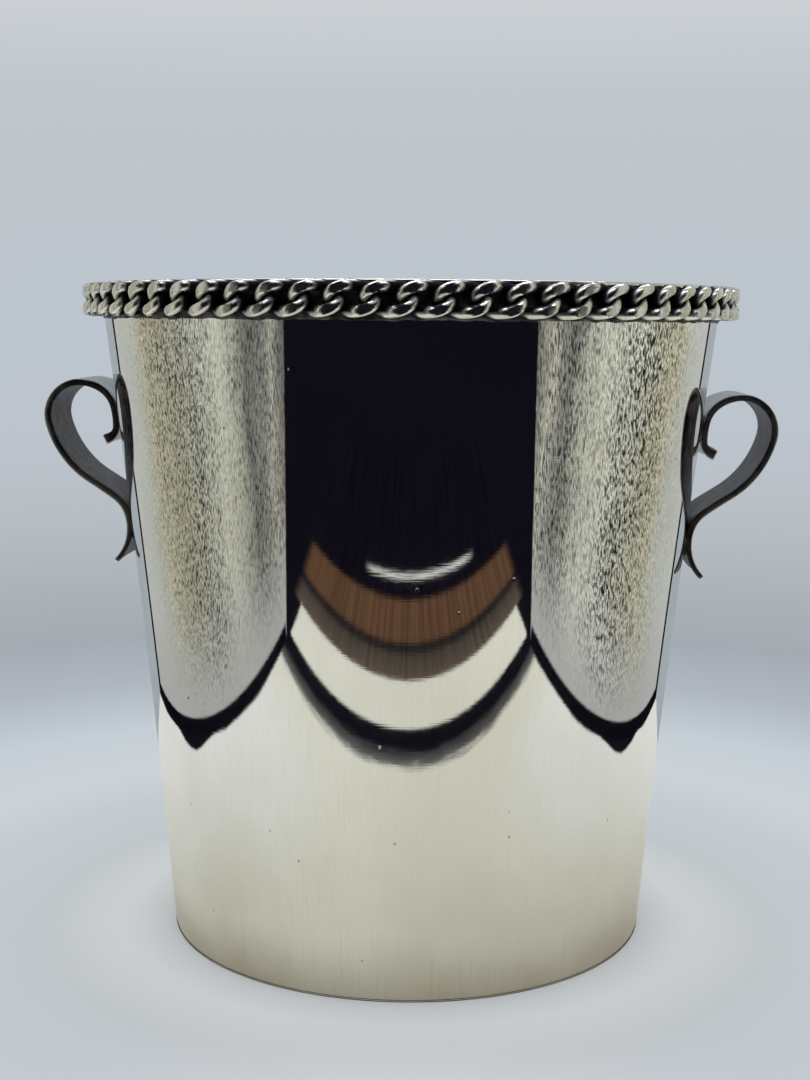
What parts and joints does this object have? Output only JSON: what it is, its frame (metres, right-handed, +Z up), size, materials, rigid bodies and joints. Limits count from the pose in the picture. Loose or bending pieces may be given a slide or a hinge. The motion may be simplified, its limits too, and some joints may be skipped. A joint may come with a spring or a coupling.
{
  "type": "champagne bucket",
  "caption": "Flared round champagne bucket in polished silver plate, with a curb chain soldered round the rim and two scroll strap handles.",
  "frame": {"origin": "centre of the circle that the bucket stands on", "axes": "+Z up through the mouth, +X to the right handle, -Y the front"},
  "size_m": [0.2354, 0.2098, 0.21],
  "materials": {
    "silver_body": "polished silver plate with fine upright brushing and light tarnish",
    "silver_floor": "spun silver plate, slightly dulled",
    "silver_chain": "polished silver plate, dark oxide in the recesses",
    "silver_strap": "satin silver plate, toned grey by handling",
    "solder": "dull grey silver solder"
  },
  "bodies": {
    "root": {"base_disc": "silver_floor", "base_solder": "solder", "body_wall": "silver_body", "chain_links_01": "silver_chain", "chain_links_02": "silver_chain", "chain_links_03": "silver_chain", "chain_links_04": "silver_chain", "chain_links_05": "silver_chain", "chain_links_06": "silver_chain", "chain_links_07": "silver_chain", "chain_links_08": "silver_chain", "chain_links_09": "silver_chain", "chain_links_10": "silver_chain", "chain_links_11": "silver_chain", "chain_links_12": "silver_chain", "chain_links_13": "silver_chain", "chain_links_14": "silver_chain", "chain_links_15": "silver_chain", "chain_links_16": "silver_chain", "chain_links_17": "silver_chain", "chain_links_18": "silver_chain", "chain_links_19": "silver_chain", "chain_links_20": "silver_chain", "chain_links_21": "silver_chain", "chain_links_22": "silver_chain", "chain_links_23": "silver_chain", "chain_links_24": "silver_chain", "chain_links_25": "silver_chain", "chain_links_26": "silver_chain", "chain_links_27": "silver_chain", "chain_links_28": "silver_chain", "chain_links_29": "silver_chain", "chain_links_30": "silver_chain", "chain_links_31": "silver_chain", "chain_links_32": "silver_chain", "chain_links_33": "silver_chain", "chain_solder": "solder", "handle_left": "silver_strap", "handle_right": "silver_strap", "solder_left_lower": "solder", "solder_left_upper": "solder", "solder_right_lower": "solder", "solder_right_upper": "solder"}
  },
  "joints": []
}
